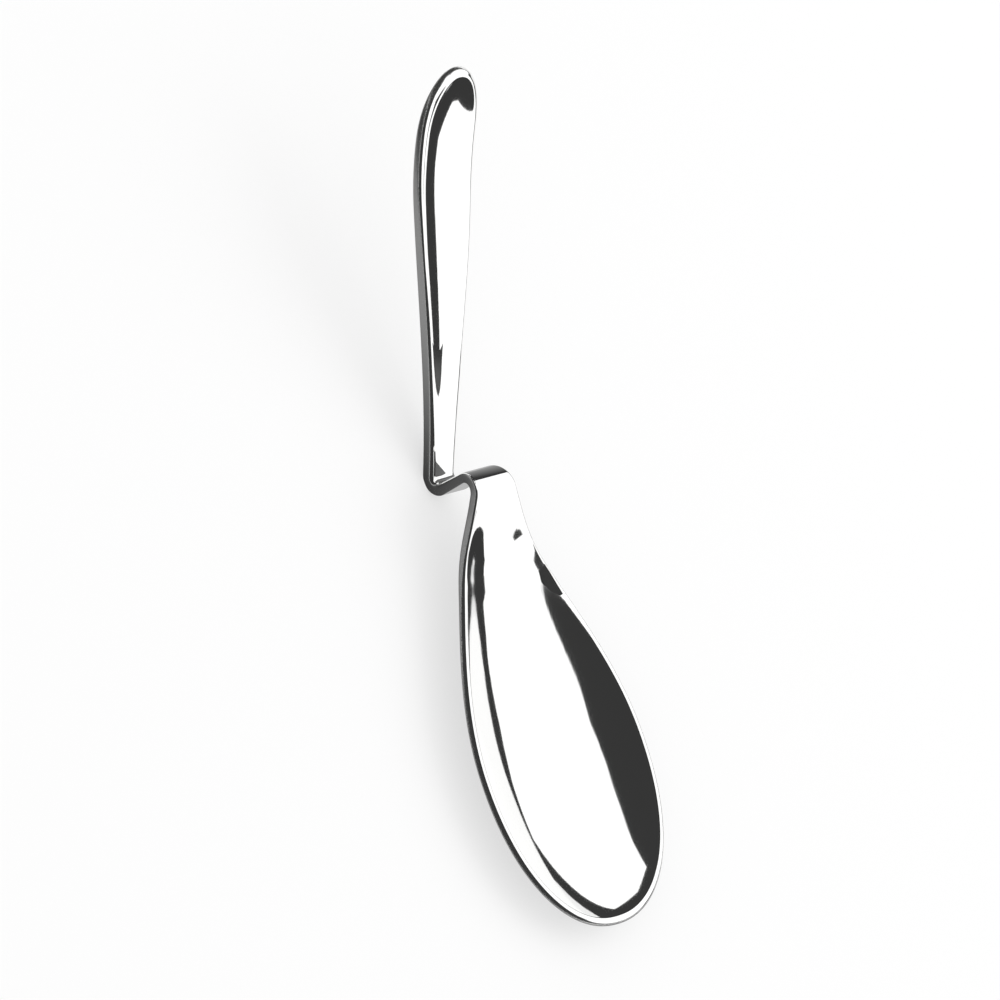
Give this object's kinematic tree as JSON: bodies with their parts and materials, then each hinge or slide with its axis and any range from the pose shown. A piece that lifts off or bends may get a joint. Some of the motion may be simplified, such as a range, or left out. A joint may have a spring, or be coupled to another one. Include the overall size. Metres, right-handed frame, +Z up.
{
  "type": "salad spoon",
  "caption": "Steel salad spoon with a dished teardrop bowl, a tapered handle and a bent step between them that hooks over the rim of a salad bowl.",
  "frame": {"origin": "on the table, under the middle of the spoon's length and width, as it lies on its heel bend and the belly of its bowl", "axes": "+Z up from the table, +Y from the bowl toward the end of the handle, +X to the right when seen from the bowl's tip; the spoon is symmetric about the plane X = 0"},
  "size_m": [0.0654, 0.2312, 0.0592],
  "materials": {
    "polished_steel": "mirror-polished stainless steel"
  },
  "bodies": {
    "root": {"spoon": "polished_steel"}
  },
  "joints": []
}
